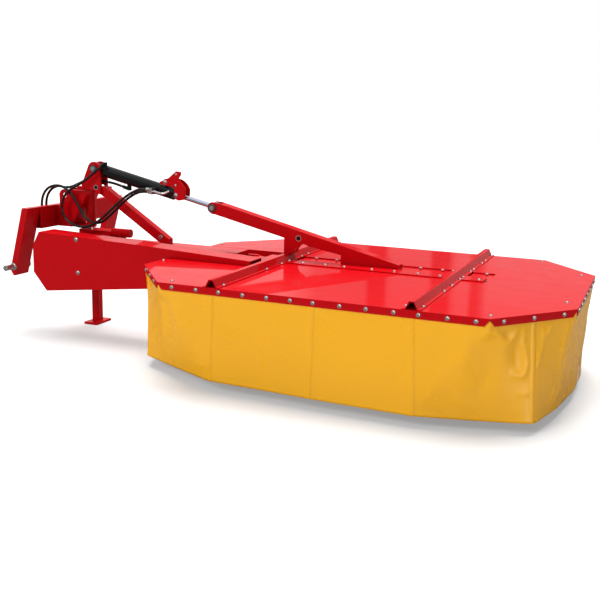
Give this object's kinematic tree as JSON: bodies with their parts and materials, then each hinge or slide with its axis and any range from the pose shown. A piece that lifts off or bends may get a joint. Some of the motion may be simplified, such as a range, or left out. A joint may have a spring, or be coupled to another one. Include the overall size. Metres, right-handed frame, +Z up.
{
  "type": "drum mower",
  "caption": "Rear three-point drum mower parked on its stand, hitch head swung for transport, with belt guard, lift cylinder, deck and cloth skirts.",
  "frame": {"origin": "middle of the bounding box on the ground", "axes": "+X from the hitch head along the boom to the mowing deck, +Y forward at work, +Z up"},
  "size_m": [2.7794, 1.4594, 0.8332],
  "materials": {
    "bare_steel": "satin",
    "black_paint": "satin",
    "black_rubber": "matte",
    "chrome": "polished",
    "red_paint": "gloss",
    "yellow_cloth": "satin",
    "zinc_steel": "satin"
  },
  "bodies": {
    "boom": {"boom_beam": "red_paint", "boom_neck": "red_paint", "stub_tube": "red_paint", "swing_pin": "zinc_steel", "mast": "red_paint", "mast_brace": "red_paint", "mast_pin": "zinc_steel", "fold_pin": "zinc_steel", "belt_guard": "red_paint", "input_housing": "black_paint", "stand_sleeve": "red_paint", "rod_supply_hose": "black_rubber", "barrel_supply_hose": "black_rubber"},
    "head": {"head_bar": "red_paint", "rear_leg": "red_paint", "front_leg": "red_paint", "head_tower": "red_paint", "rear_link_pin": "zinc_steel", "front_link_pin": "zinc_steel", "coupler_rack": "zinc_steel"},
    "stand": {"stand_leg": "red_paint"},
    "deck": {"gear_case": "red_paint", "rear_deck_panel": "red_paint", "front_deck_panel": "red_paint", "inner_ridge": "red_paint", "outer_ridge": "red_paint", "lift_arm": "red_paint", "arm_pin": "zinc_steel", "rear_skirt": "yellow_cloth", "front_skirt": "yellow_cloth"},
    "lift_cylinder": {"lift_barrel": "black_paint", "transport_latch": "red_paint", "cylinder_pipe": "zinc_steel", "lift_hose": "black_rubber"},
    "lift_piston": {"lift_rod": "chrome"},
    "inner_rotor": {"inner_drum": "red_paint", "inner_knife_1": "bare_steel", "inner_knife_2": "bare_steel", "inner_knife_3": "bare_steel"},
    "outer_rotor": {"outer_drum": "red_paint", "outer_knife_1": "bare_steel", "outer_knife_2": "bare_steel", "outer_knife_3": "bare_steel"},
    "inner_skid": {"inner_saucer": "bare_steel"},
    "outer_skid": {"outer_saucer": "bare_steel"},
    "input": {"input_shaft": "bare_steel"}
  },
  "joints": [
    {"name": "head_swing", "type": "hinge", "parent": "boom", "child": "head", "pos_m": [-1.10103, 0.11, 0.59], "axis": [0, 0, 1], "range_deg": [-90, 0], "deforming": ["rod_supply_hose", "barrel_supply_hose"]},
    {"name": "stand_slide", "type": "slide", "parent": "boom", "child": "stand", "axis": [0, 0, 1], "range_m": [0, 0.14]},
    {"name": "deck_fold", "type": "hinge", "parent": "boom", "child": "deck", "pos_m": [-0.17303, 0.085, 0.38], "axis": [0, -1, 0], "range_deg": [-8, 15]},
    {"name": "cylinder_swing", "type": "hinge", "parent": "boom", "child": "lift_cylinder", "pos_m": [-1.03903, 0.085, 0.798], "axis": [0, -1, 0], "range_deg": [-7, 4], "deforming": ["rod_supply_hose", "barrel_supply_hose"]},
    {"name": "rod_slide", "type": "slide", "parent": "lift_cylinder", "child": "lift_piston", "axis": [0.9751, 0, -0.2219], "range_m": [-0.055, 0.03]},
    {"name": "inner_drum_spin", "type": "hinge", "parent": "deck", "child": "inner_rotor", "pos_m": [0.01447, 0.08, 0.2], "axis": [0, 0, 1], "continuous": true},
    {"name": "outer_drum_spin", "type": "hinge", "parent": "deck", "child": "outer_rotor", "pos_m": [0.83947, 0.08, 0.2], "axis": [0, 0, 1], "continuous": true},
    {"name": "inner_skid_spin", "type": "hinge", "parent": "inner_rotor", "child": "inner_skid", "pos_m": [0.01447, 0.08, 0.03], "axis": [0, 0, 1], "continuous": true},
    {"name": "outer_skid_spin", "type": "hinge", "parent": "outer_rotor", "child": "outer_skid", "pos_m": [0.83947, 0.08, 0.03], "axis": [0, 0, 1], "continuous": true},
    {"name": "input_spin", "type": "hinge", "parent": "boom", "child": "input", "pos_m": [-1.15303, 0, 0.34], "axis": [0, 1, 0], "continuous": true}
  ],
  "couplings": [
    {"joint": "cylinder_swing", "follows": "deck_fold", "ratio": -0.3964},
    {"joint": "rod_slide", "follows": "deck_fold", "m_per_rad": -0.1854},
    {"joint": "outer_drum_spin", "follows": "inner_drum_spin", "ratio": -1},
    {"joint": "input_spin", "follows": "inner_drum_spin", "ratio": 0.32}
  ]
}
